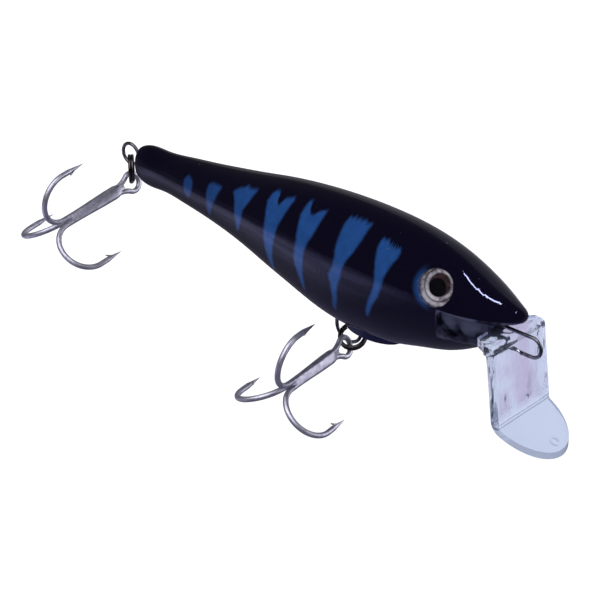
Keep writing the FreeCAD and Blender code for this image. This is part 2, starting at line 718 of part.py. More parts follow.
class RingLink:
    """Where a split ring hangs in a wire loop and carries a hook's eye."""

    def __init__(self, loop_centre, loop_radius, seat, radius, yaw, pitch, turn, play, hook_seat):
        angle = math.radians(seat)
        self.radius = radius
        self.loop_centre = loop_centre
        self.hanging_point = loop_centre + vec(math.cos(angle), 0, -math.sin(angle)) * loop_radius
        self.normal = heading_vector(yaw, pitch)
        self.across = self.normal.cross(Z_AXIS).normalize()
        self.along = self.normal.cross(self.across)
        inside = radius - WIRE_DIAMETER / 2 - RING_WIRE / 2 - play
        self.centre = self.hanging_point - self.spoke(turn) * inside
        self.hook_point = self.centre + self.spoke(hook_seat) * radius
        self.hook_axis = self.normal.cross(self.spoke(hook_seat))

    def spoke(self, degrees):
        turn = math.radians(degrees)
        return self.across * math.cos(turn) + self.along * math.sin(turn)

    def split_ring(self):
        """Two turns of wire lying on each other, each cut through once."""
        lift = self.normal * (RING_WIRE * RING_LAY / 2)
        ring = Part.makeTorus(self.radius, RING_WIRE / 2, self.centre + lift, self.normal)
        ring = ring.fuse(Part.makeTorus(self.radius, RING_WIRE / 2, self.centre - lift, self.normal))
        for side in (-1, 1):
            slit = box(0, self.radius + RING_WIRE, -RING_SLIT / 2, RING_SLIT / 2, 0, RING_WIRE)
            turned = FreeCAD.Rotation(self.along * side, ORIGIN, self.normal * side, "ZXY")
            slit.Placement = FreeCAD.Placement(self.centre, turned)
            ring = ring.cut(slit)
        return ring


class Treble:
    """A treble hook placed by its eye's centre and the direction of its shank."""

    def __init__(self, eye, yaw, pitch, roll):
        self.roll = roll
        self.shank = heading_vector(yaw, pitch)
        self.side = heading_vector(yaw + 90, 0)
        self.up = self.shank.cross(self.side)
        self.bundle = (HOOK_WIRE + HOOK_SEAM) / math.sqrt(3)
        self.eye = eye
        self.axis = eye - self.prong(60) * (self.bundle / 2)
        self.bend_start = HOOK_LENGTH - HOOK_WIRE / 2 - HOOK_BEND

    def prong(self, angle):
        turn = math.radians(angle + self.roll)
        return self.up * math.cos(turn) + self.side * math.sin(turn)

    def shank_point(self, angle, distance):
        return self.axis + self.prong(angle) * self.bundle + self.shank * distance

    def bend_centre(self, angle):
        return self.shank_point(angle, self.bend_start) + self.prong(angle) * HOOK_BEND

    def point_edges(self, angle, start):
        """Shank, bend and straight point leg of one prong, from the shank outwards."""
        centre = self.bend_centre(angle)
        leg = centre + self.prong(angle) * HOOK_BEND
        return [
            line(self.shank_point(angle, start), self.shank_point(angle, self.bend_start)),
            arc(centre, HOOK_BEND, self.prong(angle) * -1, self.shank, 0, 180),
            line(leg, leg - self.shank * HOOK_POINT_LEG),
        ]

    def reversed_point_edges(self, angle, start):
        centre = self.bend_centre(angle)
        leg = centre + self.prong(angle) * HOOK_BEND
        return [
            line(leg - self.shank * HOOK_POINT_LEG, leg),
            arc(centre, HOOK_BEND, self.prong(angle) * -1, self.shank, 180, 0),
            line(self.shank_point(angle, self.bend_start), self.shank_point(angle, start)),
        ]

    def point_and_barb(self, angle):
        """The tapered point and the small barb on its inner side."""
        out = self.prong(angle)
        base = self.bend_centre(angle) + out * HOOK_BEND - self.shank * HOOK_POINT_LEG
        cone = Part.makeCone(HOOK_WIRE / 2, HOOK_TIP_DIAMETER / 2, HOOK_POINT_TAPER, base, self.shank * -1)
        across = self.shank.cross(out)
        foot = base - across * (BARB_WIDTH / 2) - self.shank * BARB_SETBACK
        inner = out * (-HOOK_WIRE / 4)
        outline = [
            foot + inner - self.shank * BARB_LENGTH,
            foot + inner * 2 - out * BARB_RISE,
            foot + inner - self.shank * BARB_RISE,
        ]
        barb = Part.Face(Part.makePolygon(outline + outline[:1])).extrude(across * BARB_WIDTH)
        return [cone, barb]

    def double_hook(self):
        """One wire: a point, its shank, the eye, and back to a second point."""
        offset = (HOOK_WIRE + HOOK_SEAM) / 2
        reach, meet = fork(HOOK_EYE_RADIUS, HOOK_FORK, offset)
        across = (self.prong(120) - self.prong(0)).normalize()
        forward = self.shank * -1
        fork_a = self.eye + self.shank * reach - across * (offset + HOOK_FORK)
        fork_b = self.eye + self.shank * reach + across * (offset + HOOK_FORK)
        edges = self.reversed_point_edges(0, reach)
        edges.append(arc(fork_a, HOOK_FORK, across, forward, 0, 90 - meet))
        edges.append(arc(self.eye, HOOK_EYE_RADIUS, self.shank, across, -meet, meet - 360))
        edges.append(arc(fork_b, HOOK_FORK, across * -1, forward, 90 - meet, 0))
        edges += self.point_edges(120, reach)
        return wire_solid(edges, HOOK_WIRE).fuse(self.point_and_barb(0) + self.point_and_barb(120))

    def single_hook(self):
        edges = self.point_edges(-120, SINGLE_SHANK_START)
        return wire_solid(edges, HOOK_WIRE).fuse(self.point_and_barb(-120))

    def braze(self):
        """The filler that joins the three shanks, a star between them."""
        length = BRAZE_END - BRAZE_START
        core = cylinder(BRAZE_DIAMETER, length, self.axis + self.shank * BRAZE_START, self.shank)
        diameter = HOOK_WIRE + 2 * BRAZE_CLEARANCE
        grooves = [cylinder(diameter, length + 2, self.shank_point(angle, BRAZE_START - 1), self.shank)
                   for angle in (0, 120, -120)]
        return core.cut(grooves)


def hook_station(place):
    """The ring link and the treble at one hanger, placed from the hanger's loop."""
    if place == "belly":
        link = RingLink(belly_loop_centre(), BELLY_LOOP_RADIUS, BELLY_RING_SEAT, BELLY_RING_RADIUS,
                        BELLY_RING_YAW, BELLY_RING_PITCH, BELLY_RING_TURN, BELLY_RING_PLAY, BELLY_HOOK_SEAT)
        aim = (BELLY_HOOK_YAW, BELLY_HOOK_PITCH, BELLY_HOOK_ROLL)
        play = BELLY_HOOK_PLAY
    else:
        link = RingLink(tail_loop_centre(), TAIL_LOOP_RADIUS, TAIL_RING_SEAT, TAIL_RING_RADIUS,
                        TAIL_RING_YAW, TAIL_RING_PITCH, TAIL_RING_TURN, TAIL_RING_PLAY, TAIL_HOOK_SEAT)
        aim = (TAIL_HOOK_YAW, TAIL_HOOK_PITCH, TAIL_HOOK_ROLL)
        play = TAIL_HOOK_PLAY
    lead = HOOK_EYE_RADIUS - HOOK_WIRE / 2 - RING_WIRE / 2 - play
    treble = Treble(link.hook_point + heading_vector(aim[0], aim[1]) * lead, *aim)
    return link, treble


def print_hinge(name, point, axis):
    """Hinge positions in the finished part's frame, for the joint list."""
    point = point - TIE_CENTRE
    print(name, "hinge", [round(c, 4) for c in point], "axis", [round(c, 5) for c in axis])


# ---------------------------------------------------------------- all the sub-parts
def build():
    right_shell, left_shell = body_halves()
    nodes = {
        "right_body_shell": right_shell,
        "left_body_shell": left_shell,
        "diving_lip": diving_lip(),
        "lip_cross_pin": lip_pin(0.0),
        "line_tie_wire": line_tie(0.0),
        "belly_hook_hanger": belly_hanger(0.0),
        "tail_hook_hanger": tail_hanger(0.0),
        "front_ballast_weight": front_ballast(),
        "rear_ballast_weight": rear_ballast(),
        "rattle_tube": rattle_tube(),
        "rattle_tube_cap": rattle_tube_cap(),
        "rattle_balls": rattle_balls(),
    }
    for side, name in ((-1, "right"), (1, "left")):
        nodes[name + "_eye_foil"] = eye_foil(side)
        nodes[name + "_eye_pupil"] = eye_pupil(side)
        nodes[name + "_eye_lens"] = eye_lens(side)
    for place in ("belly", "tail"):
        link, treble = hook_station(place)
        print_hinge(place + " ring", link.loop_centre, Y_AXIS)
        print_hinge(place + " treble", link.hook_point, link.hook_axis)
        nodes[place + "_split_ring"] = link.split_ring()
        nodes[place + "_treble_double_hook"] = treble.double_hook()
        nodes[place + "_treble_single_hook"] = treble.single_hook()
        nodes[place + "_treble_braze"] = treble.braze()
    return nodes


os.makedirs("parts", exist_ok=True)
for node, shape in build().items():
    shape = shape.copy()
    shape.translate(TIE_CENTRE * -1)
    print(node, "solids", len(shape.Solids), "valid", shape.isValid(), "volume", round(shape.Volume, 2))
    shape.exportStep("parts/" + node + ".step")
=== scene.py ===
import math

import bmesh
import bpy
import numpy
from bpy.props import FloatProperty, FloatVectorProperty, PointerProperty
from mathutils import Matrix, Vector


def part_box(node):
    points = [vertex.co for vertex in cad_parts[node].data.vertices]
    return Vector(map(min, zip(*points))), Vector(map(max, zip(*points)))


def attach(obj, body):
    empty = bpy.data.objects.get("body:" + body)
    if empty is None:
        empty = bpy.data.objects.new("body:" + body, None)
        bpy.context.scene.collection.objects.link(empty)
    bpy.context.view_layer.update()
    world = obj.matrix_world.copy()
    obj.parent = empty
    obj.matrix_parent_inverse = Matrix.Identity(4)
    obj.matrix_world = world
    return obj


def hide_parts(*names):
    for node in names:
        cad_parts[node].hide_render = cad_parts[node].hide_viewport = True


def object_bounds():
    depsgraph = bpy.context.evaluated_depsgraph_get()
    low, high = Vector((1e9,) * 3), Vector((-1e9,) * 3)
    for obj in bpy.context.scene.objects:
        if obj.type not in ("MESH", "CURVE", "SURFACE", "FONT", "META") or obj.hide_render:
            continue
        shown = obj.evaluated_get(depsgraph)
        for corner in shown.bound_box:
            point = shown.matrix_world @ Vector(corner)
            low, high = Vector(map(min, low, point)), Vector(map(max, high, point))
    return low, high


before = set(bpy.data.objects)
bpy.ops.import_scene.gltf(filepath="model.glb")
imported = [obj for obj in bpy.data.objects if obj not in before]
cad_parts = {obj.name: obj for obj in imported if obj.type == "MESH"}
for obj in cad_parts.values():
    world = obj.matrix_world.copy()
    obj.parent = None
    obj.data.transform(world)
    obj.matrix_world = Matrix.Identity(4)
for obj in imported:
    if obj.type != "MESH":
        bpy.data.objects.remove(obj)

bl_info = {
    "name": "Crankbait looks",
    "version": (1, 0, 0),
    "blender": (4, 5, 0),
    "location": "3D View > Sidebar > Lure",
    "description": "Gives the crankbait lure its coiled split rings, finishes, floor, light and camera",
    "category": "Object",
}

CAD_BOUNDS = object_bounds()
MM = 0.001

# Each bar on the flank, in millimetres: height, rear edge and front edge, then the top as place and height
BARS = [
    ([(6.6, -126.2, -125.8), (7.6, -127.3, -125.0), (9.5, -128.1, -124.2), (11.5, -128.2, -124.1),
      (13.4, -127.4, -124.6)],
     [(-128.6, 12.2), (-126.8, 13.4), (-124.0, 12.6)]),
    ([(4.4, -116.1, -115.8), (6.0, -116.6, -115.0), (8.8, -116.8, -113.9), (11.5, -117.2, -112.7),
      (15.0, -117.0, -111.4)],
     [(-117.4, 14.0), (-115.4, 14.9), (-111.2, 15.0)]),
    ([(4.8, -102.5, -102.1), (6.4, -102.7, -101.3), (9.4, -103.4, -100.4), (12.0, -103.9, -100.3),
      (13.6, -104.3, -99.4), (15.4, -105.9, -98.3), (18.4, -105.6, -97.0)],
     [(-106.0, 15.8), (-104.0, 17.0), (-102.6, 17.4), (-101.8, 18.2), (-99.8, 18.0), (-96.8, 18.8)]),
    ([(-3.6, -88.2, -87.6), (-1.0, -88.7, -87.0), (3.4, -89.5, -86.6), (9.0, -90.3, -85.6), (12.6, -90.2, -84.9),
      (14.6, -90.4, -84.0), (17.8, -91.3, -82.8), (21.0, -90.6, -81.8)],
     [(-91.6, 19.4), (-89.6, 20.6), (-88.2, 20.4), (-87.3, 18.2), (-86.6, 17.8), (-86.0, 18.6), (-85.2, 20.0),
      (-84.4, 20.2), (-82.4, 21.0), (-81.6, 20.6)]),
    ([(-4.6, -74.5, -73.8), (-1.0, -75.1, -73.6), (2.2, -76.2, -73.8), (6.0, -77.3, -73.5), (9.0, -76.9, -73.2),
      (11.6, -76.7, -72.4), (14.6, -76.9, -70.9), (18.6, -77.3, -69.6), (22.0, -76.6, -68.8)],
     [(-77.8, 20.4), (-76.6, 21.9), (-75.4, 21.9), (-74.8, 20.4), (-74.0, 19.2), (-72.6, 19.5), (-71.4, 20.6),
      (-70.2, 21.0), (-69.0, 21.5)]),
    ([(-6.6, -62.2, -61.8), (-4.6, -62.5, -61.0), (-2.0, -62.0, -60.3), (2.8, -62.4, -59.8), (5.4, -63.2, -58.8),
      (8.6, -61.7, -58.4), (11.6, -61.5, -57.2), (14.6, -61.7, -55.3), (18.4, -61.4, -53.6),
      (22.6, -61.0, -52.8)],
     [(-61.6, 21.0), (-60.6, 22.4), (-59.8, 22.0), (-59.0, 22.6), (-58.2, 22.1), (-57.4, 22.6), (-56.4, 22.2),
      (-55.4, 22.6), (-54.4, 22.1), (-52.6, 22.5)]),
    ([(-3.4, -49.3, -48.8), (-1.2, -49.2, -47.8), (1.8, -48.3, -46.5), (4.6, -47.2, -44.8), (8.0, -46.2, -43.7),
      (11.0, -46.4, -43.4), (13.2, -46.8, -42.5), (15.4, -47.2, -41.6), (17.4, -47.6, -40.4),
      (20.8, -47.6, -40.2)],
     [(-48.0, 19.4), (-47.2, 20.6), (-46.2, 20.3), (-45.2, 20.6), (-44.7, 20.2), (-44.3, 19.2), (-44.0, 20.4),
      (-43.6, 19.0), (-43.3, 20.3), (-43.0, 18.8), (-42.6, 20.2), (-42.3, 18.6), (-41.9, 20.0), (-41.6, 19.0),
      (-41.1, 19.8), (-40.2, 19.2)]),
]
BAR_LOW, BAR_HIGH = -12.0, 24.0
BAR_SPAN = 28.0
BAR_LEAD = 12.0
BAR_RAGGED = 0.4
BAR_THIN_Z = (-8.0, 4.0)
BAR_THIN_X = (-128.0, -92.0)
FLANK_TINT_FADE_Z = (6.0, -12.0)
FLAKE_GLINT_FADE_Z = (12.0, 20.0)

# Places on the side of the head and on the lip, in millimetres
EYE_CENTRE = (-26.8, 12.95)
EYE_RING = (3.0, 3.6)
EYE_GROOVE = 4.5
CRESCENT_FADE = (5.2, 7.4)
CRESCENT_BACK = (1.5, 5.5)
CRESCENT_TILT = -0.35
MOUTH_BACK = -25.15
MOUTH_TOP = 7.3
MOUTH_LOW = -2.1
SCOOP_TOP = -21.9
LIP_WALL_FADE = (-21.5, -17.5)
LIP_FLOW_STRETCH = (1.0, 1.0, 0.45)

# The coils of the split rings, in degrees and sides
RING_STEP = 4
RING_JOG = 70
RING_GAP = 8
RING_SIDES = 20
BELLY_JOG_START, TAIL_JOG_START = 40, 200

# The trebles and their webs of braze, in millimetres; starts and ends are measured along the shank from the eye
HOOK_START = 8.4
HOOK_CUT = 0.05
HOOK_BUNDLE = 1.051
HOOK_FORK = 10.0
HOOK_FORK_START = 6.88
WEB_START, WEB_END, WEB_STEP = 3.6, 28.6, 0.5
WEB_FULL_BY = 8.0
WEB_SLIM = (9.0, 26.0)
WEB_TIP_START = 26.5
WEB_RADIUS, WEB_SWELL, WEB_WAIST, WEB_TIP = 0.45, 0.78, 0.38, 0.5
WEB_SIDES = 40

METAL_NODES = [
    "line_tie_wire", "belly_hook_hanger", "tail_hook_hanger", "belly_treble_double_hook",
    "belly_treble_single_hook", "tail_treble_double_hook", "tail_treble_single_hook",
]
METAL_PIECES = ["belly_split_ring_coil", "tail_split_ring_coil", "belly_treble_web", "tail_treble_web"]

# The stage, in metres
CAMERA_PLACE = (0.3010, -0.4296, 0.30355)
CAMERA_TARGET = (-0.0946, 0.0097, -0.02415)
CAMERA_LENS = 131.5
LIGHT_TARGET = (-0.08, 0.0, 0.0)
KEY_PLACE, KEY_SIZE = (0.25, -0.45, 0.7), (0.7, 0.5)
SHEEN_PLACE, SHEEN_SIZE = (-0.1, -0.5, 0.75), (1.3, 0.9)
FILL_PLACE, FILL_SIZE = (0.34, 0.42, 0.06), (0.9, 0.7)
FILL_TARGET = (-0.08, -0.03, -0.01)
STREAK_PLACE, STREAK_SIZE = (0.106, 0.014, 0.600), (0.172, 0.013)
STREAK_TARGET = (-0.0127, -0.0031, 0.0129)
STREAK_ALONG = (-0.38, 0.92, 0.0)
FLOOR_DROP = 0.06
FLOOR_WIDTH = 1.5
FLOOR_MIDDLE = (-0.2, 0.33)
# The floor's colour in gloss only: a painted shadow and a painted violet cast, which the body reflects
FLOOR_PAINTED_CAST = "E6E4FF"
FLOOR_GLOSS, FLOOR_PAINTED_SHADOW = 0.85, 0.12
FLOOR_FADE_X = (-0.24, -0.11)
FLOOR_FADE_Y = (-0.15, 0.0)
FLOOR_TAIL_X = (-0.42, -0.3)
FLOOR_NEAR_Y = (-0.42, -0.15)
FLOOR_FAR_Y = (0.12, 0.2)
FLOOR_NEAR_LEFT, FLOOR_FAR_LIT = 0.1, 0.7
FLOOR_MOTTLE_PER_M = 18.0
WORLD_SOFT = 1.05
WORLD_GLASS_Y, WORLD_GLASS = (-0.95, -0.75), (0.1, 0.95)
WORLD_GLOSS_Y, WORLD_GLOSS = (0.55, 0.85), (0.07, 0.3)

# Settings that many nodes share
SMOOTH = {"interpolation_type": "SMOOTHSTEP"}
COLOUR = {"data_type": "RGBA"}
TIMES = {"operation": "MULTIPLY"}
MINUS = {"operation": "SUBTRACT"}
PLUS = {"operation": "ADD"}
LARGER = {"operation": "MAXIMUM"}


# ---------------------------------------------------------------- colours and nodes
def linear(code):
    """A hex sRGB colour as a linear red, green and blue."""
    def channel(text):
        value = int(text, 16) / 255
        return value / 12.92 if value <= 0.04045 else ((value + 0.055) / 1.055) ** 2.4
    return tuple(channel(code[k:k + 2]) for k in (0, 2, 4))


def rgba(colour):
    return (*colour, 1.0)


def add(tree, kind, inputs=None, **settings):
    """Adds a node with its settings, links or sets its inputs, and gives its outputs."""
    made = tree.nodes.new("ShaderNode" + kind)
    for name, value in settings.items():
        setattr(made, name, value)
    for name, value in (inputs or {}).items():
        if isinstance(value, bpy.types.NodeSocket):
            tree.links.new(value, made.inputs[name])
        else:
            made.inputs[name].default_value = value
    return made.outputs


def start(name):
    made = bpy.data.materials.new(name)
    made.use_nodes = True
    made.node_tree.nodes.clear()
    return made, made.node_tree


def end(tree, inputs):
    add(tree, "OutputMaterial", {"Surface": add(tree, "BsdfPrincipled", inputs)["BSDF"]})


def millimetres(tree):
    """The place on the object in millimetres, so that a pattern's scale is the number of its cells in one."""
    place = add(tree, "TexCoord")["Object"]
    return add(tree, "VectorMath", {0: place, 1: (1 / MM,) * 3}, **TIMES)[0]


def from_eye(tree, x, z):
    """How far a place on the side is from the eye's middle: along the body, upwards and in a straight line."""
    across = add(tree, "Math", {0: x, 1: EYE_CENTRE[0]}, **MINUS)[0]
    up = add(tree, "Math", {0: z, 1: EYE_CENTRE[1]}, **MINUS)[0]
    offset = add(tree, "CombineXYZ", {"X": across, "Y": up})[0]
    return across, up, add(tree, "VectorMath", {0: offset}, operation="LENGTH")["Value"]


# ---------------------------------------------------------------- materials
def two_lines(tree, factor, stops):
    """Two values that follow straight lines between their stops against a factor."""
    colours = add(tree, "ValToRGB", {"Fac": factor})
    elements = colours["Color"].node.color_ramp.elements
    while len(elements) < len(stops):
        elements.new(1.0)
    for element, (at, first, second) in zip(elements, stops):
        element.position = at
        element.color = (first, second, 0.0, 1.0)
    return add(tree, "SeparateColor", {"Color": colours["Color"]})


def bar_mask(tree, x, share, bar, softness):
    """1 inside one bar and 0 outside it."""
    edges, top = bar
    first_x = edges[0][1] - BAR_LEAD
    rise = BAR_HIGH - BAR_LOW
    rows = [((height - BAR_LOW) / rise, (rear - first_x) / BAR_SPAN, (front - first_x) / BAR_SPAN)
            for height, rear, front in edges]
    shut = (rows[0][1] + rows[0][2]) / 2
    rows = [(rows[0][0] - 0.01, shut + 0.05, shut - 0.05)] + rows
    sides = two_lines(tree, share, rows)
    place = add(tree, "MapRange", {0: x, 1: first_x, 2: first_x + BAR_SPAN})[0]
    tops = [((at - first_x) / BAR_SPAN, (height - BAR_LOW) / rise, 0.0) for at, height in top]
    crest = two_lines(tree, place, tops)
    behind = add(tree, "Math", {0: place, 1: sides[0]}, **MINUS)[0]
    ahead = add(tree, "Math", {0: sides[1], 1: place}, **MINUS)[0]
    under = add(tree, "Math", {0: crest[0], 1: share}, **MINUS)[0]
    wide, tall = softness / BAR_SPAN, softness / rise
    mask = add(tree, "MapRange", {0: behind, 1: -wide, 2: wide}, **SMOOTH)[0]
    for inside, soft in ((ahead, wide), (under, tall)):
        edge = add(tree, "MapRange", {0: inside, 1: -soft, 2: soft}, **SMOOTH)[0]
        mask = add(tree, "Math", {0: mask, 1: edge}, **TIMES)[0]
    return mask


def body_lacquer(settings):
    """Airbrushed blue bars on black under a clear lacquer: deep, wet-looking, with sharp reflections."""
    made, tree = start("airbrushed black lacquer")
    place = millimetres(tree)
    x, _, z = add(tree, "SeparateXYZ", {"Vector": place})
    ragged = add(tree, "TexNoise", {"Vector": place, "Scale": 0.9, "Detail": 4.0, "Roughness": 0.7})["Fac"]
    ragged = add(tree, "Math", {0: ragged, 1: 2 * BAR_RAGGED, 2: -BAR_RAGGED}, operation="MULTIPLY_ADD")[0]
    bar_x = add(tree, "Math", {0: ragged, 1: x}, **PLUS)[0]
    bar_z = add(tree, "Math", {0: ragged, 1: z}, **PLUS)[0]
    share = add(tree, "MapRange", {0: bar_z, 1: BAR_LOW, 2: BAR_HIGH})[0]
    mask = 0.0
    for bar in BARS:
        inside = bar_mask(tree, bar_x, share, bar, settings.bar_softness / MM)
        mask = add(tree, "Math", {0: mask, 1: inside}, **LARGER)[0]

    # A crescent of the same blue behind and over the eye
    across, up, distance = from_eye(tree, x, z)
    near_eye = add(tree, "MapRange", {0: distance, 1: CRESCENT_FADE[0], 2: CRESCENT_FADE[1], 3: 1.0, 4: 0.0},
                   **SMOOTH)[0]
    tilted = add(tree, "Math", {0: up, 1: CRESCENT_TILT}, **TIMES)[0]
    behind = add(tree, "Math", {0: tilted, 1: across}, **MINUS)[0]
    behind = add(tree, "MapRange", {0: behind, 1: CRESCENT_BACK[0], 2: CRESCENT_BACK[1], 4: 0.7}, **SMOOTH)[0]
    crescent = add(tree, "Math", {0: near_eye, 1: behind}, **TIMES)[0]
    mask = add(tree, "Math", {0: mask, 1: crescent}, **LARGER)[0]

    # The blue clouds into a deeper one, and the spray thins out low on the flank and towards the tail
    depth = add(tree, "TexNoise", {"Vector": place, "Scale": 0.35, "Detail": 3.0, "Roughness": 0.55})["Fac"]
    blue = add(tree, "Mix", {0: depth, 6: rgba(settings.bar_colour), 7: rgba(settings.bar_deep_colour)},
               **COLOUR)[2]
    # Low on the flank the black turns navy: a painted reflection tint standing in for the floor's blue-violet
    # reflection
    low_flank_tint = add(tree, "Math", {0: depth, 1: 12.0, 2: z}, operation="MULTIPLY_ADD")[0]
    low_flank_tint = add(tree, "MapRange", {0: low_flank_tint, 1: FLANK_TINT_FADE_Z[0], 2: FLANK_TINT_FADE_Z[1]}, **SMOOTH)[0]
    ground = add(tree, "Mix", {0: low_flank_tint, 6: rgba(settings.lacquer_colour), 7: rgba(settings.flank_reflection_tint_colour)},
                 **COLOUR)[2]
    low = add(tree, "MapRange", {0: z, 1: BAR_THIN_Z[0], 2: BAR_THIN_Z[1], 3: 0.6}, **SMOOTH)[0]
    rear = add(tree, "MapRange", {0: x, 1: BAR_THIN_X[0], 2: BAR_THIN_X[1], 3: 0.65}, **SMOOTH)[0]
    thin = add(tree, "Math", {0: low, 1: rear}, **TIMES)[0]
    sprayed = add(tree, "Math", {0: mask, 1: thin}, **TIMES)[0]
    paint = add(tree, "Mix", {0: sprayed, 6: ground, 7: blue}, **COLOUR)[2]

    # A few flakes high on the back, their glints painted in as bright colour, drawn wider than a real flake so
    # that they show
    cells = add(tree, "TexVoronoi", {"Vector": place, "Scale": 0.9})
    glint_spot = add(tree, "MapRange", {0: cells["Distance"], 1: 0.11, 2: 0.05}, **SMOOTH)[0]
    chance = add(tree, "SeparateColor", {"Color": cells["Color"]})[0]
    chosen = add(tree, "MapRange", {0: chance, 1: 0.93, 2: 0.95}, **SMOOTH)[0]
    high = add(tree, "MapRange", {0: z, 1: FLAKE_GLINT_FADE_Z[0], 2: FLAKE_GLINT_FADE_Z[1], 4: 0.5}, **SMOOTH)[0]
    glint_spot = add(tree, "Math", {0: glint_spot, 1: chosen}, **TIMES)[0]
    glint_spot = add(tree, "Math", {0: glint_spot, 1: high}, **TIMES)[0]
    paint = add(tree, "Mix", {0: glint_spot, 6: paint, 7: rgba(settings.flake_glint_colour)}, **COLOUR)[2]

    # Grey overspray inside the mouth, duller than the lacquer
    front = add(tree, "MapRange", {0: x, 1: MOUTH_BACK - 0.05, 2: MOUTH_BACK + 0.05}, **SMOOTH)[0]
    below = add(tree, "MapRange", {0: z, 1: MOUTH_TOP - 0.1, 2: MOUTH_TOP, 3: 1.0, 4: 0.0}, **SMOOTH)[0]
    above = add(tree, "MapRange", {0: z, 1: MOUTH_LOW, 2: MOUTH_LOW + 0.1}, **SMOOTH)[0]
    mouth = add(tree, "Math", {0: front, 1: below}, **TIMES)[0]
    mouth = add(tree, "Math", {0: mouth, 1: above}, **TIMES)[0]
    smear = add(tree, "TexNoise", {"Vector": place, "Scale": 0.16, "Detail": 3.0, "Roughness": 0.5,
                                   "Distortion": 0.5})["Fac"]
    smear = add(tree, "MapRange", {0: smear, 1: 0.38, 2: 0.62}, **SMOOTH)[0]
    grey = add(tree, "Mix", {0: smear, 6: rgba(settings.mouth_colour), 7: rgba(settings.lacquer_colour)},
               **COLOUR)[2]
    ripple = add(tree, "TexNoise", {"Vector": place, "Scale": 0.16, "Detail": 2.0, "Roughness": 0.55})["Fac"]
    end(tree, {
        "Base Color": add(tree, "Mix", {0: mouth, 6: paint, 7: grey}, **COLOUR)[2],
        "Roughness": add(tree, "MapRange", {0: mouth, 3: 0.03, 4: 0.3}, **SMOOTH)[0],
        "Specular Tint": rgba(settings.gloss_colour),
        "Normal": add(tree, "Bump", {"Height": ripple, "Distance": 0.001 * MM})[0],
    })
    return made


def clear_polycarbonate(settings):
    """Moulded clear polycarbonate: a faint violet cast, and flow lines and ripples that bend what is behind."""
    made, tree = start("moulded clear polycarbonate")
    place = millimetres(tree)
    z = add(tree, "SeparateXYZ", {"Vector": place})["Z"]
    stretched = add(tree, "VectorMath", {0: place, 1: LIP_FLOW_STRETCH}, **TIMES)[0]
    swell = add(tree, "TexNoise", {"Vector": stretched, "Scale": 0.13, "Detail": 1.0, "Roughness": 0.4,
                                   "Distortion": 0.6})["Fac"]
    flow = add(tree, "TexNoise", {"Vector": stretched, "Scale": 0.3, "Detail": 1.0, "Roughness": 0.3,
                                  "Distortion": 1.2})["Fac"]
    wall = add(tree, "MapRange", {0: z, 1: LIP_WALL_FADE[0], 2: LIP_WALL_FADE[1]}, **SMOOTH)[0]
    clouded = add(tree, "MapRange", {0: swell, 1: 0.4, 2: 0.6}, **SMOOTH)[0]
    clouded = add(tree, "Math", {0: clouded, 1: wall}, **TIMES)[0]
    cast = add(tree, "Mix", {0: clouded, 6: rgba(settings.lip_colour), 7: rgba(settings.lip_shade_colour)},
               **COLOUR)[2]
    height = add(tree, "Math", {0: flow, 1: 0.2, 2: swell}, operation="MULTIPLY_ADD")[0]
    height = add(tree, "Math", {0: height, 1: wall}, **TIMES)[0]

    # The scoop's cut edge is frosted and drawn darker as painted shade, and the line where the wall meets the
    # scoop is frosted, with a painted shadow line
    facing = add(tree, "SeparateXYZ", {"Vector": add(tree, "NewGeometry")["Normal"]})["Z"]
    facing = add(tree, "Math", {0: facing}, operation="ABSOLUTE")[0]
    steep = add(tree, "MapRange", {0: facing, 1: 0.3, 2: 0.6, 3: 1.0, 4: 0.0}, **SMOOTH)[0]
    scoop = add(tree, "MapRange", {0: z, 1: SCOOP_TOP - 0.8, 2: SCOOP_TOP, 3: 1.0, 4: 0.0}, **SMOOTH)[0]
    frost = add(tree, "Math", {0: steep, 1: scoop}, **TIMES)[0]
    tinted = add(tree, "Math", {0: frost, 1: 0.45}, **TIMES)[0]
    cast = add(tree, "Mix", {0: tinted, 6: cast, 7: rgba(settings.lip_edge_shade_colour)}, **COLOUR)[2]
    crease = add(tree, "MapRange", {0: z, 1: SCOOP_TOP, 2: SCOOP_TOP + 0.05}, **SMOOTH)[0]
    above = add(tree, "MapRange", {0: z, 1: SCOOP_TOP + 0.3, 2: SCOOP_TOP + 0.6, 3: 1.0, 4: 0.0}, **SMOOTH)[0]
    for part in (above, steep):
        crease = add(tree, "Math", {0: crease, 1: part}, **TIMES)[0]
    tinted = add(tree, "Math", {0: crease, 1: 0.7}, **TIMES)[0]
    cast = add(tree, "Mix", {0: tinted, 6: cast, 7: rgba(settings.lip_crease_colour)}, **COLOUR)[2]
    crease = add(tree, "Math", {0: crease, 1: 0.8}, **TIMES)[0]
    frost = add(tree, "Math", {0: frost, 1: crease}, **LARGER)[0]
    end(tree, {
        "Base Color": cast,
        "Roughness": add(tree, "MapRange", {0: flow, 1: 0.35, 2: 0.65, 3: 0.02, 4: 0.12}, **SMOOTH)[0],
        "Transmission Weight": add(tree, "MapRange", {0: frost, 3: 0.96, 4: 0.35}, **SMOOTH)[0],
        "IOR": 1.58,
        "Normal": add(tree, "Bump", {"Height": height, "Distance": 0.8 * MM})[0],
    })
    return made


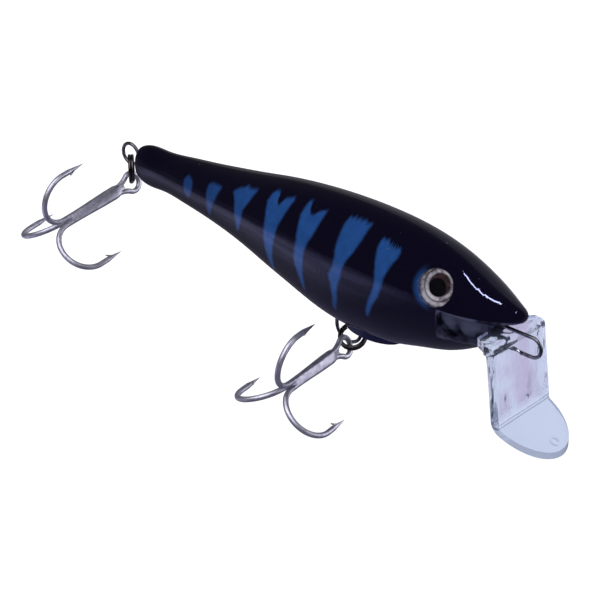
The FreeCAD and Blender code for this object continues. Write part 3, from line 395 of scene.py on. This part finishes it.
def drawn_metal(name, colour, roughness, dark=None, grain_per_mm=2.0):
    """A metal with fine working marks and, where it has a darker colour, uneven plating."""
    made, tree = start(name)
    place = millimetres(tree)
    base = rgba(colour)
    if dark is not None:
        cloud = add(tree, "TexNoise", {"Vector": place, "Scale": 0.5, "Detail": 4.0, "Roughness": 0.6})["Fac"]
        cloud = add(tree, "MapRange", {0: cloud, 1: 0.35, 2: 0.7}, **SMOOTH)[0]
        base = add(tree, "Mix", {0: cloud, 6: base, 7: rgba(dark)}, **COLOUR)[2]
    grain = add(tree, "TexNoise", {"Vector": place, "Scale": grain_per_mm, "Detail": 5.0,
                                   "Roughness": 0.7})["Fac"]
    dull = {0: grain, 1: 0.2, 2: 0.8, 3: roughness * 0.8, 4: roughness * 1.25}
    end(tree, {
        "Base Color": base,
        "Metallic": 1.0,
        "Roughness": add(tree, "MapRange", dull, **SMOOTH)[0],
        "Normal": add(tree, "Bump", {"Height": grain, "Distance": 0.02 * MM})[0],
    })
    return made


def eye_foil(settings):
    """Hot-stamped silver foil: a bright band between a dark ring at the pupil and a painted shade line in the
    groove near its rim.
    """
    made, tree = start("hot-stamped silver foil")
    place = millimetres(tree)
    x, _, z = add(tree, "SeparateXYZ", {"Vector": place})
    distance = from_eye(tree, x, z)[2]
    cloud = add(tree, "TexNoise", {"Vector": place, "Scale": 0.4, "Detail": 2.0, "Roughness": 0.55})["Fac"]
    clouded = add(tree, "MapRange", {0: cloud, 1: 0.45, 2: 0.62}, **SMOOTH)[0]
    silver = add(tree, "Mix", {0: clouded, 6: rgba(settings.foil_colour), 7: rgba(settings.foil_shade_colour)},
                 **COLOUR)[2]
    # Painted shade: a dark line in the groove near the foil's rim
    groove_shade = add(tree, "Math", {0: distance, 1: EYE_GROOVE}, **MINUS)[0]
    groove_shade = add(tree, "Math", {0: groove_shade}, operation="ABSOLUTE")[0]
    groove_shade = add(tree, "MapRange", {0: groove_shade, 1: 0.1, 2: 0.35, 3: 0.85, 4: 0.0}, **SMOOTH)[0]
    silver = add(tree, "Mix", {0: groove_shade, 6: silver, 7: rgba(settings.foil_ring_and_groove_shade_colour)}, **COLOUR)[2]
    inner = add(tree, "MapRange", {0: distance, 1: EYE_RING[0], 2: EYE_RING[1], 3: 1.0, 4: 0.0}, **SMOOTH)[0]
    lines = add(tree, "TexWave", {"Vector": place, "Scale": 3.0, "Distortion": 0.6}, wave_type="RINGS")["Fac"]
    end(tree, {
        "Base Color": add(tree, "Mix", {0: inner, 6: silver, 7: rgba(settings.foil_ring_and_groove_shade_colour)}, **COLOUR)[2],
        "Metallic": 0.3,
        "Roughness": add(tree, "MapRange", {0: cloud, 1: 0.2, 2: 0.8, 3: 0.3, 4: 0.45}, **SMOOTH)[0],
        "Normal": add(tree, "Bump", {"Height": lines, "Distance": 0.015 * MM})[0],
    })
    return made


def plain_plastic(name, colour, roughness, specular=0.5):
    """A moulded plastic with a fine spark-eroded grain, which breaks up its sheen."""
    made, tree = start(name)
    grain = add(tree, "TexNoise", {"Vector": millimetres(tree), "Scale": 0.8, "Detail": 4.0,
                                   "Roughness": 0.7})["Fac"]
    dull = {0: grain, 1: 0.2, 2: 0.8, 3: roughness * 0.8, 4: roughness * 1.2}
    end(tree, {
        "Base Color": rgba(colour),
        "Roughness": add(tree, "MapRange", dull, **SMOOTH)[0],
        "Specular IOR Level": specular,
        "Normal": add(tree, "Bump", {"Height": grain, "Distance": 0.01 * MM})[0],
    })
    return made


def clear_resin(settings):
    """A poured clear epoxy dome: a sharp highlight over the foil, with a few faint ripples."""
    made, tree = start("poured clear epoxy")
    ripple = add(tree, "TexNoise", {"Vector": millimetres(tree), "Scale": 0.25, "Detail": 2.0,
                                    "Roughness": 0.55})["Fac"]
    end(tree, {
        "Base Color": add(tree, "Mix", {0: ripple, 6: rgba(settings.lens_colour),
                                        7: rgba(settings.lens_shade_colour)}, **COLOUR)[2],
        "Roughness": add(tree, "MapRange", {0: ripple, 1: 0.3, 2: 0.7, 3: 0.0, 4: 0.03}, **SMOOTH)[0],
        "Transmission Weight": 1.0,
        "IOR": 1.5,
        "Alpha": 0.2,
        "Normal": add(tree, "Bump", {"Height": ripple, "Distance": 0.05 * MM})[0],
    })
    return made


def floor_paper_with_painted_gloss_shade(colour):
    """A matt white studio paper; seen in gloss only, it gets a painted shadow under and ahead of the lure, a
    painted violet cast and a mottle.
    """
    made, tree = start("matt white studio paper")
    place = add(tree, "NewGeometry")["Position"]
    x, y, _ = add(tree, "SeparateXYZ", {"Vector": place})
    # Painted shadow, seen only in gloss: dark under and ahead of the lure and towards the sheet's edges, mottled
    behind = add(tree, "MapRange", {0: x, 1: FLOOR_FADE_X[0], 2: FLOOR_FADE_X[1], 3: 1.0, 4: 0.0}, **SMOOTH)[0]
    tail = add(tree, "MapRange", {0: x, 1: FLOOR_TAIL_X[0], 2: FLOOR_TAIL_X[1]}, **SMOOTH)[0]
    beside = add(tree, "MapRange", {0: y, 1: FLOOR_FADE_Y[0], 2: FLOOR_FADE_Y[1], 3: 1.0, 4: 0.0}, **SMOOTH)[0]
    near = {0: y, 1: FLOOR_NEAR_Y[0], 2: FLOOR_NEAR_Y[1], 3: FLOOR_NEAR_LEFT}
    near = add(tree, "MapRange", near, **SMOOTH)[0]
    far = add(tree, "MapRange", {0: y, 1: FLOOR_FAR_Y[0], 2: FLOOR_FAR_Y[1], 4: FLOOR_FAR_LIT}, **SMOOTH)[0]
    mottle = add(tree, "TexNoise", {"Vector": place, "Scale": FLOOR_MOTTLE_PER_M, "Detail": 3.0,
                                    "Roughness": 0.6})["Fac"]
    mottle = add(tree, "MapRange", {0: mottle, 1: 0.38, 2: 0.62, 3: 0.6}, **SMOOTH)[0]
    beside = add(tree, "Math", {0: beside, 1: near}, **TIMES)[0]
    lit = add(tree, "Math", {0: beside, 1: far}, **PLUS)[0]
    for share in (behind, tail, mottle):
        lit = add(tree, "Math", {0: lit, 1: share}, **TIMES)[0]
    lit = add(tree, "Math", {0: lit, 1: FLOOR_GLOSS - FLOOR_PAINTED_SHADOW, 2: FLOOR_PAINTED_SHADOW}, operation="MULTIPLY_ADD")[0]
    # A painted violet cast on the floor as the body reflects it
    cast = rgba(linear(FLOOR_PAINTED_CAST))
    shade = add(tree, "Mix", {0: lit, 6: (0.0, 0.0, 0.0, 1.0), 7: cast}, **COLOUR)[2]
    path = add(tree, "LightPath")
    glossy = add(tree, "Math", {0: path["Is Glossy Ray"], 1: path["Is Transmission Ray"]}, **MINUS)[0]
    glossy = add(tree, "Math", {0: glossy, 1: 0.0}, **LARGER)[0]
    end(tree, {
        "Base Color": add(tree, "Mix", {0: glossy, 6: rgba(colour), 7: shade}, **COLOUR)[2],
        "Roughness": 0.9,
        "Specular IOR Level": 0.0,
    })
    return made


def give(material, *nodes):
    """Puts one material on every slot of the named CAD nodes."""
    for name in nodes:
        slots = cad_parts[name].material_slots
        if not slots:
            raise RuntimeError(f"{name} has no material slot")
        for slot in slots:
            slot.material = material


# ---------------------------------------------------------------- mesh making
def loft(name, loops):
    """A smooth skin over a row of loops of points, closed by a flat face at both ends."""
    mesh = bpy.data.meshes.new(name)
    work = bmesh.new()
    rows = [[work.verts.new(point) for point in loop] for loop in loops]
    for first, second in zip(rows, rows[1:]):
        for k in range(len(first)):
            work.faces.new((first[k - 1], first[k], second[k], second[k - 1]))
    work.faces.new(rows[0])
    work.faces.new(list(reversed(rows[-1])))
    bmesh.ops.recalc_face_normals(work, faces=work.faces)
    for face in work.faces:
        face.smooth = len(face.verts) == 4
    work.to_mesh(mesh)
    work.free()
    made = bpy.data.objects.new(name, mesh)
    bpy.context.scene.collection.objects.link(made)
    return made


def sweep(name, path, radii, sides):
    """A round tube along a path of points, its radius given at each."""
    tangents = [(path[min(k + 1, len(path) - 1)] - path[max(k - 1, 0)]).normalized() for k in range(len(path))]
    side = tangents[0].orthogonal().normalized()
    turns = [2 * math.pi * k / sides for k in range(sides)]
    loops = []
    for point, tangent, radius in zip(path, tangents, radii):
        side = (side - tangent * side.dot(tangent)).normalized()
        other = tangent.cross(side)
        loops.append([point + (side * math.cos(t) + other * math.sin(t)) * radius for t in turns])
    return loft(name, loops)


def smooth_share(value, low, high):
    """A smooth step of a value from 0 at one limit to 1 at the other."""
    share = min(max((value - low) / (high - low), 0.0), 1.0)
    return share * share * (3 - 2 * share)


def treble_lines(place):
    """A treble's axis at the eye, its shank's direction and the way to a prong, from the CAD's own pieces."""
    braze, single = [numpy.array([v.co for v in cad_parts[f"{place}_treble_{part}"].data.vertices]) / MM
                     for part in ("braze", "single_hook")]
    middle = braze.mean(0)
    along = numpy.linalg.svd(braze - middle, full_matrices=False)[2][0]
    along = along * numpy.sign((single.mean(0) - middle) @ along)
    plane = numpy.linalg.svd(single - single.mean(0), full_matrices=False)[2][2]
    level = single @ along
    cut_end = single[level < level.min() + HOOK_CUT].mean(0)
    lean = numpy.cross(plane, along)
    lean = lean / numpy.linalg.norm(lean) * numpy.sign((cut_end - middle) @ lean)
    axis = Vector(cut_end - lean * HOOK_BUNDLE - along * HOOK_START)
    lean, along = Vector(lean), Vector(along)
    third = math.radians(120)
    return axis, along, lean * math.cos(third) + lean.cross(along) * math.sin(third)


def hook_web(name, node, body, treble, material):
    """The braze as one web round the three shanks: flat in the fork, full below it and slim at the bends."""
    axis, along, prong = treble
    other = prong.cross(along)
    corners = [prong * math.cos(math.radians(t)) + other * math.sin(math.radians(t)) for t in (0, 120, -120)]
    across = (corners[1] - corners[0]).normalized()
    turns = [2 * math.pi * k / WEB_SIDES for k in range(WEB_SIDES)]
    loops = []
    for step in range(int((WEB_END - WEB_START) / WEB_STEP) + 1):
        distance = WEB_START + step * WEB_STEP
        rest = max(HOOK_FORK_START - distance, 0.0)
        spread = HOOK_FORK - math.sqrt(HOOK_FORK ** 2 - rest ** 2)
        full = smooth_share(distance, WEB_START, WEB_FULL_BY)
        slim = smooth_share(distance, *WEB_SLIM)
        tip = smooth_share(distance, WEB_TIP_START, WEB_END)
        radius = WEB_RADIUS + WEB_SWELL * full - WEB_WAIST * slim - WEB_TIP * tip
        centres = [corners[0] * HOOK_BUNDLE - across * spread, corners[1] * HOOK_BUNDLE + across * spread,
                   corners[2] * HOOK_BUNDLE * (1.5 * full - 0.5)]
        loop = []
        for turn in turns:
            way = prong * math.cos(turn) + other * math.sin(turn)
            centre = max(centres, key=way.dot)
            loop.append((axis + along * distance + centre + way * radius) * MM)
        loops.append(loop)
    made = loft(name, loops)
    made.data.materials.append(material)
    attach(made, body)
    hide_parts(node)
    return made


def ring_frame(node):
    """Centre, normal and two directions in the plane of a ring-shaped CAD node."""
    points = numpy.array([v.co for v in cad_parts[node].data.vertices])
    low = numpy.array(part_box(node)[0])
    centre = (low + numpy.array(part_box(node)[1])) / 2
    spread = numpy.linalg.svd(points[::4] - centre, full_matrices=False)[2]
    return Vector(centre), Vector(spread[2]).normalized(), Vector(spread[0]).normalized()


def coil(name, node, body, wire, lay, jog_start, material):
    """One wire coiled almost twice, stepping from one turn to the other over a short jog."""
    centre, normal, first = ring_frame(node)
    second = normal.cross(first)
    reach = max((v.co - centre).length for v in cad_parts[node].data.vertices)
    radius = math.sqrt((reach - wire / 2) ** 2 - (lay / 2) ** 2)
    path = []
    for step in range(0, 720 - RING_JOG - RING_GAP + 1, RING_STEP):
        lift = (smooth_share(step, 360 - RING_JOG, 360) - 0.5) * lay
        turn = math.radians(step + jog_start)
        path.append(centre + (first * math.cos(turn) + second * math.sin(turn)) * radius + normal * lift)
    made = sweep(name, path, [wire / 2] * len(path), RING_SIDES)
    made.data.materials.append(material)
    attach(made, body)
    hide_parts(node)


# ---------------------------------------------------------------- settings
def colour_property(name, code, description):
    return FloatVectorProperty(name=name, description=description, default=linear(code), subtype="COLOR",
                               min=0.0, max=1.0)


class LureBodySettings(bpy.types.PropertyGroup):
    lacquer_colour: colour_property("Lacquer", "050310", "Black of the back and upper flanks")
    # The flank colour is a painted reflection tint: navy low on the flank, for the floor's bluish reflection
    flank_reflection_tint_colour: colour_property("Flank", "100F2C", "Slightly lighter black of the belly")
    bar_colour: colour_property("Bars", "1C4078", "Blue of the bars")
    bar_deep_colour: colour_property("Bars, deeper", "132F5B", "Deeper blue that the bars cloud into")
    gloss_colour: colour_property("Gloss", "C4CAFF", "Cast of the clear lacquer's reflection")
    mouth_colour: colour_property("Mouth", "35374C", "Grey overspray inside the mouth")
    # The flakes' bright colour is their painted glint
    flake_glint_colour: colour_property("Flake", "C8C8DC", "The few bright flakes on the back")
    bar_softness: FloatProperty(name="Bar softness", description="Half width of a bar's airbrushed edge",
                                default=0.0007, min=0.00005, max=0.003, unit="LENGTH")


class LureEyeSettings(bpy.types.PropertyGroup):
    foil_colour: colour_property("Foil", "D0CCD8", "Silver of the eye's foil")
    foil_shade_colour: colour_property("Foil, shaded", "857E8A", "Duller silver that the foil clouds into")
    # Also the painted shade in the groove near the foil's rim
    foil_ring_and_groove_shade_colour: colour_property("Foil ring", "3A262C", "Dark ring round the pupil")
    pupil_colour: colour_property("Pupil", "08070C", "Black of the pupil")
    lens_colour: colour_property("Lens", "F6F6FA", "Cast of the clear dome")
    lens_shade_colour: colour_property("Lens, shaded", "ECECF6", "Second cast of the clear dome")


class LureLipSettings(bpy.types.PropertyGroup):
    lip_colour: colour_property("Lip", "BFC9E3", "Cast of the clear lip")
    lip_shade_colour: colour_property("Lip, shaded", "B4B0D0", "Second cast of the clear lip")
    # Painted shade: the scoop's cut edge is drawn darker, for the dark outline of a clear edge
    lip_edge_shade_colour: colour_property("Lip edge", "8C94B0", "Darker cast of the scoop's cut edge")
    lip_crease_colour: colour_property("Lip crease", "5C6078", "Shadow line where the wall meets the scoop")
    pin_colour: colour_property("Pin", "B4B4BA", "Steel of the pin through the lip")


class LureMetalSettings(bpy.types.PropertyGroup):
    wire_colour: colour_property("Wire", "8A8896", "Black nickel of the wire loops")
    wire_dark_colour: colour_property("Wire, darker", "4A4854", "Darker black nickel")
    ring_colour: colour_property("Rings", "5A5258", "Black nickel of the split rings")
    ring_dark_colour: colour_property("Rings, darker", "2C2428", "Darker black nickel")
    hook_colour: colour_property("Hooks", "D6D5E8", "Satin nickel of the hooks")
    hook_dark_colour: colour_property("Hooks, darker", "B8B7CE", "Duller nickel of the hooks")
    belly_wire: FloatProperty(name="Belly ring wire", description="Thickness of the belly ring's wire",
                              default=0.0011, min=0.0004, max=0.003, unit="LENGTH")
    belly_lay: FloatProperty(name="Belly ring lay", description="Distance between the middles of its two turns",
                             default=0.00115, min=0.0004, max=0.003, unit="LENGTH")
    tail_wire: FloatProperty(name="Tail ring wire", description="Thickness of the tail ring's wire",
                             default=0.001, min=0.0004, max=0.003, unit="LENGTH")
    tail_lay: FloatProperty(name="Tail ring lay", description="Distance between the middles of its two turns",
                            default=0.00092, min=0.0004, max=0.003, unit="LENGTH")


class LureInsideSettings(bpy.types.PropertyGroup):
    ballast_colour: colour_property("Ballast", "8C8C90", "Plain steel of the ballast and the balls")
    tube_colour: colour_property("Rattle tube", "D8D6CC", "Natural plastic of the rattle tube")


class LureStageSettings(bpy.types.PropertyGroup):
    floor_colour: colour_property("Floor", "F8F8F8", "White of the floor")
    key_power: FloatProperty(name="Key light", description="Power of the large soft light", default=3.4,
                             min=0.0, unit="POWER")
    sheen_power: FloatProperty(name="Metal light", description="Power of the soft light on the plated metal",
                               default=7.0, min=0.0, unit="POWER")
    fill_power: FloatProperty(name="Metal fill", description="Power of the low soft light on the plated metal",
                              default=2.9, min=0.0, unit="POWER")
    streak_power: FloatProperty(name="Streak light", description="Power of the narrow light", default=0.25,
                                min=0.0, unit="POWER")


# ---------------------------------------------------------------- operators
class LURE_OT_body(bpy.types.Operator):
    """Lacquer the two body halves"""
    bl_idname = "lure.body"
    bl_label = "Body"

    def execute(self, context):
        give(body_lacquer(context.scene.lure_body), "right_body_shell", "left_body_shell")
        return {"FINISHED"}


class LURE_OT_eyes(bpy.types.Operator):
    """Finish the foil, pupil and dome of both eyes"""
    bl_idname = "lure.eyes"
    bl_label = "Eyes"

    def execute(self, context):
        settings = context.scene.lure_eyes
        pupil = plain_plastic("printed black", settings.pupil_colour, 0.5, specular=0.0)
        give(eye_foil(settings), "right_eye_foil", "left_eye_foil")
        give(pupil, "right_eye_pupil", "left_eye_pupil")
        give(clear_resin(settings), "right_eye_lens", "left_eye_lens")
        return {"FINISHED"}


class LURE_OT_lip(bpy.types.Operator):
    """Finish the clear lip and its pin"""
    bl_idname = "lure.lip"
    bl_label = "Diving lip"

    def execute(self, context):
        settings = context.scene.lure_lip
        give(clear_polycarbonate(settings), "diving_lip")
        steel = drawn_metal("drawn stainless steel", settings.pin_colour, 0.25)
        give(steel, "lip_cross_pin")
        return {"FINISHED"}


class LURE_OT_wires(bpy.types.Operator):
    """Finish the line tie and both hook hangers"""
    bl_idname = "lure.wires"
    bl_label = "Wire loops"

    def execute(self, context):
        settings = context.scene.lure_metal
        wire = drawn_metal("black nickel wire", settings.wire_colour, 0.2, settings.wire_dark_colour)
        give(wire, "line_tie_wire", "belly_hook_hanger", "tail_hook_hanger")
        return {"FINISHED"}


class LURE_OT_rings(bpy.types.Operator):
    """Coil both split rings"""
    bl_idname = "lure.rings"
    bl_label = "Split rings"

    def execute(self, context):
        settings = context.scene.lure_metal
        steel = drawn_metal("black nickel spring steel", settings.ring_colour, 0.22, settings.ring_dark_colour)
        coil("belly_split_ring_coil", "belly_split_ring", "belly_ring", settings.belly_wire, settings.belly_lay,
             BELLY_JOG_START, steel)
        coil("tail_split_ring_coil", "tail_split_ring", "tail_ring", settings.tail_wire, settings.tail_lay,
             TAIL_JOG_START, steel)
        return {"FINISHED"}


class LURE_OT_hooks(bpy.types.Operator):
    """Finish both treble hooks"""
    bl_idname = "lure.hooks"
    bl_label = "Treble hooks"

    def execute(self, context):
        settings = context.scene.lure_metal
        nickel = drawn_metal("satin nickel plate", settings.hook_colour, 0.42, settings.hook_dark_colour)
        braze = drawn_metal("plated braze", settings.hook_dark_colour, 0.4, settings.hook_colour, 1.2)
        for place in ("belly", "tail"):
            give(nickel, f"{place}_treble_double_hook", f"{place}_treble_single_hook")
            hook_web(f"{place}_treble_web", f"{place}_treble_braze", f"{place}_treble", treble_lines(place),
                     braze)
            for node in (f"{place}_treble_double_hook", f"{place}_treble_single_hook", f"{place}_treble_web"):
                bpy.data.objects[node].visible_glossy = False
        return {"FINISHED"}


class LURE_OT_inside(bpy.types.Operator):
    """Finish the ballast and the rattle inside the body"""
    bl_idname = "lure.inside"
    bl_label = "Ballast and rattle"

    def execute(self, context):
        settings = context.scene.lure_inside
        steel = drawn_metal("plain turned steel", settings.ballast_colour, 0.35)
        give(steel, "front_ballast_weight", "rear_ballast_weight", "rattle_balls")
        plastic = plain_plastic("natural polypropylene", settings.tube_colour, 0.5)
        give(plastic, "rattle_tube", "rattle_tube_cap")
        return {"FINISHED"}


def aim(made, place, target):
    """Puts a light or camera in its place, looking at its target."""
    made.location = place
    made.rotation_euler = (Vector(target) - Vector(place)).to_track_quat("-Z", "Y").to_euler()
    bpy.context.scene.collection.objects.link(made)


def area_light(name, place, target, size, power, seen):
    """A rectangular light that may or may not be seen in reflections."""
    data = bpy.data.lights.new(name, "AREA")
    data.shape = "RECTANGLE"
    data.size, data.size_y = size
    data.energy = power
    made = bpy.data.objects.new(name, data)
    made.visible_glossy = seen
    aim(made, place, target)
    return made


def studio_world(settings):
    """White to the eye, bright behind clear pieces, soft on matt faces and nearly dark in gloss."""
    world = bpy.data.worlds.new("studio")
    bpy.context.scene.world = world
    world.use_nodes = True
    tree = world.node_tree
    tree.nodes.clear()
    path = add(tree, "LightPath")
    way = add(tree, "SeparateXYZ", {"Vector": add(tree, "TexCoord")["Generated"]})["Y"]
    backdrop = add(tree, "MapRange", {0: way, 1: WORLD_GLASS_Y[0], 2: WORLD_GLASS_Y[1], 3: WORLD_GLASS[0],
                                      4: WORLD_GLASS[1]}, **SMOOTH)[0]
    strength = add(tree, "MapRange", {0: way, 1: WORLD_GLOSS_Y[0], 2: WORLD_GLOSS_Y[1], 3: WORLD_GLOSS[0],
                                      4: WORLD_GLOSS[1]}, **SMOOTH)[0]
    strength = add(tree, "Mix", {0: path["Is Glossy Ray"], 2: WORLD_SOFT, 3: strength})[0]
    strength = add(tree, "Mix", {0: path["Is Transmission Ray"], 2: strength, 3: backdrop})[0]
    strength = add(tree, "Mix", {0: path["Is Camera Ray"], 2: strength, 3: 1.0})[0]
    lit = add(tree, "Background", {"Color": (1.0, 1.0, 1.0, 1.0), "Strength": strength})[0]
    add(tree, "OutputWorld", {"Surface": lit})


class LURE_OT_stage(bpy.types.Operator):
    """Set up the floor, lights and camera"""
    bl_idname = "lure.stage"
    bl_label = "Stage"

    def execute(self, context):
        settings = context.scene.lure_stage
        mesh = bpy.data.meshes.new("floor")
        work = bmesh.new()
        bmesh.ops.create_grid(work, x_segments=8, y_segments=8, size=FLOOR_WIDTH / 2)
        work.to_mesh(mesh)
        work.free()
        floor = bpy.data.objects.new("floor", mesh)
        floor.location = (*FLOOR_MIDDLE, CAD_BOUNDS[0].z - FLOOR_DROP)
        mesh.materials.append(floor_paper_with_painted_gloss_shade(settings.floor_colour))
        bpy.context.scene.collection.objects.link(floor)
        area_light("key", KEY_PLACE, LIGHT_TARGET, KEY_SIZE, settings.key_power, False)
        sheen = area_light("sheen", SHEEN_PLACE, LIGHT_TARGET, SHEEN_SIZE, settings.sheen_power, True)
        metal = bpy.data.collections.new("plated metal")
        for node in METAL_NODES:
            metal.objects.link(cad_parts[node])
        for piece in METAL_PIECES:
            metal.objects.link(bpy.data.objects[piece])
        fill = area_light("fill", FILL_PLACE, FILL_TARGET, FILL_SIZE, settings.fill_power, True)
        for lamp in (sheen, fill):
            lamp.light_linking.receiver_collection = metal
        streak = area_light("streak", STREAK_PLACE, STREAK_TARGET, STREAK_SIZE, settings.streak_power, True)
        back = (Vector(STREAK_PLACE) - Vector(STREAK_TARGET)).normalized()
        side = Vector(STREAK_ALONG)
        side = (side - back * side.dot(back)).normalized()
        streak.rotation_euler = Matrix((side, back.cross(side), back)).transposed().to_euler()
        studio_world(settings)
        data = bpy.data.cameras.new("camera")
        data.lens = CAMERA_LENS
        camera = bpy.data.objects.new("camera", data)
        aim(camera, CAMERA_PLACE, CAMERA_TARGET)
        context.scene.camera = camera
        context.scene.view_settings.view_transform = "Standard"
        return {"FINISHED"}


class LURE_PT_panel(bpy.types.Panel):
    bl_idname = "LURE_PT_panel"
    bl_label = "Crankbait looks"
    bl_space_type = "VIEW_3D"
    bl_region_type = "UI"
    bl_category = "Lure"

    def draw(self, context):
        for operator in OPERATORS:
            self.layout.operator(operator.bl_idname)


SETTINGS = {
    "lure_body": LureBodySettings,
    "lure_eyes": LureEyeSettings,
    "lure_lip": LureLipSettings,
    "lure_metal": LureMetalSettings,
    "lure_inside": LureInsideSettings,
    "lure_stage": LureStageSettings,
}
OPERATORS = [
    LURE_OT_body,
    LURE_OT_eyes,
    LURE_OT_lip,
    LURE_OT_wires,
    LURE_OT_rings,
    LURE_OT_hooks,
    LURE_OT_inside,
    LURE_OT_stage,
]


def register():
    for made in [*SETTINGS.values(), *OPERATORS, LURE_PT_panel]:
        bpy.utils.register_class(made)
    for name, group in SETTINGS.items():
        setattr(bpy.types.Scene, name, PointerProperty(type=group))


def unregister():
    for name in SETTINGS:
        delattr(bpy.types.Scene, name)
    for made in reversed([*SETTINGS.values(), *OPERATORS, LURE_PT_panel]):
        bpy.utils.unregister_class(made)


def main():
    register()
    for operator in OPERATORS:
        group, name = operator.bl_idname.split(".")
        getattr(getattr(bpy.ops, group), name)()


if __name__ == "__main__":
    main()
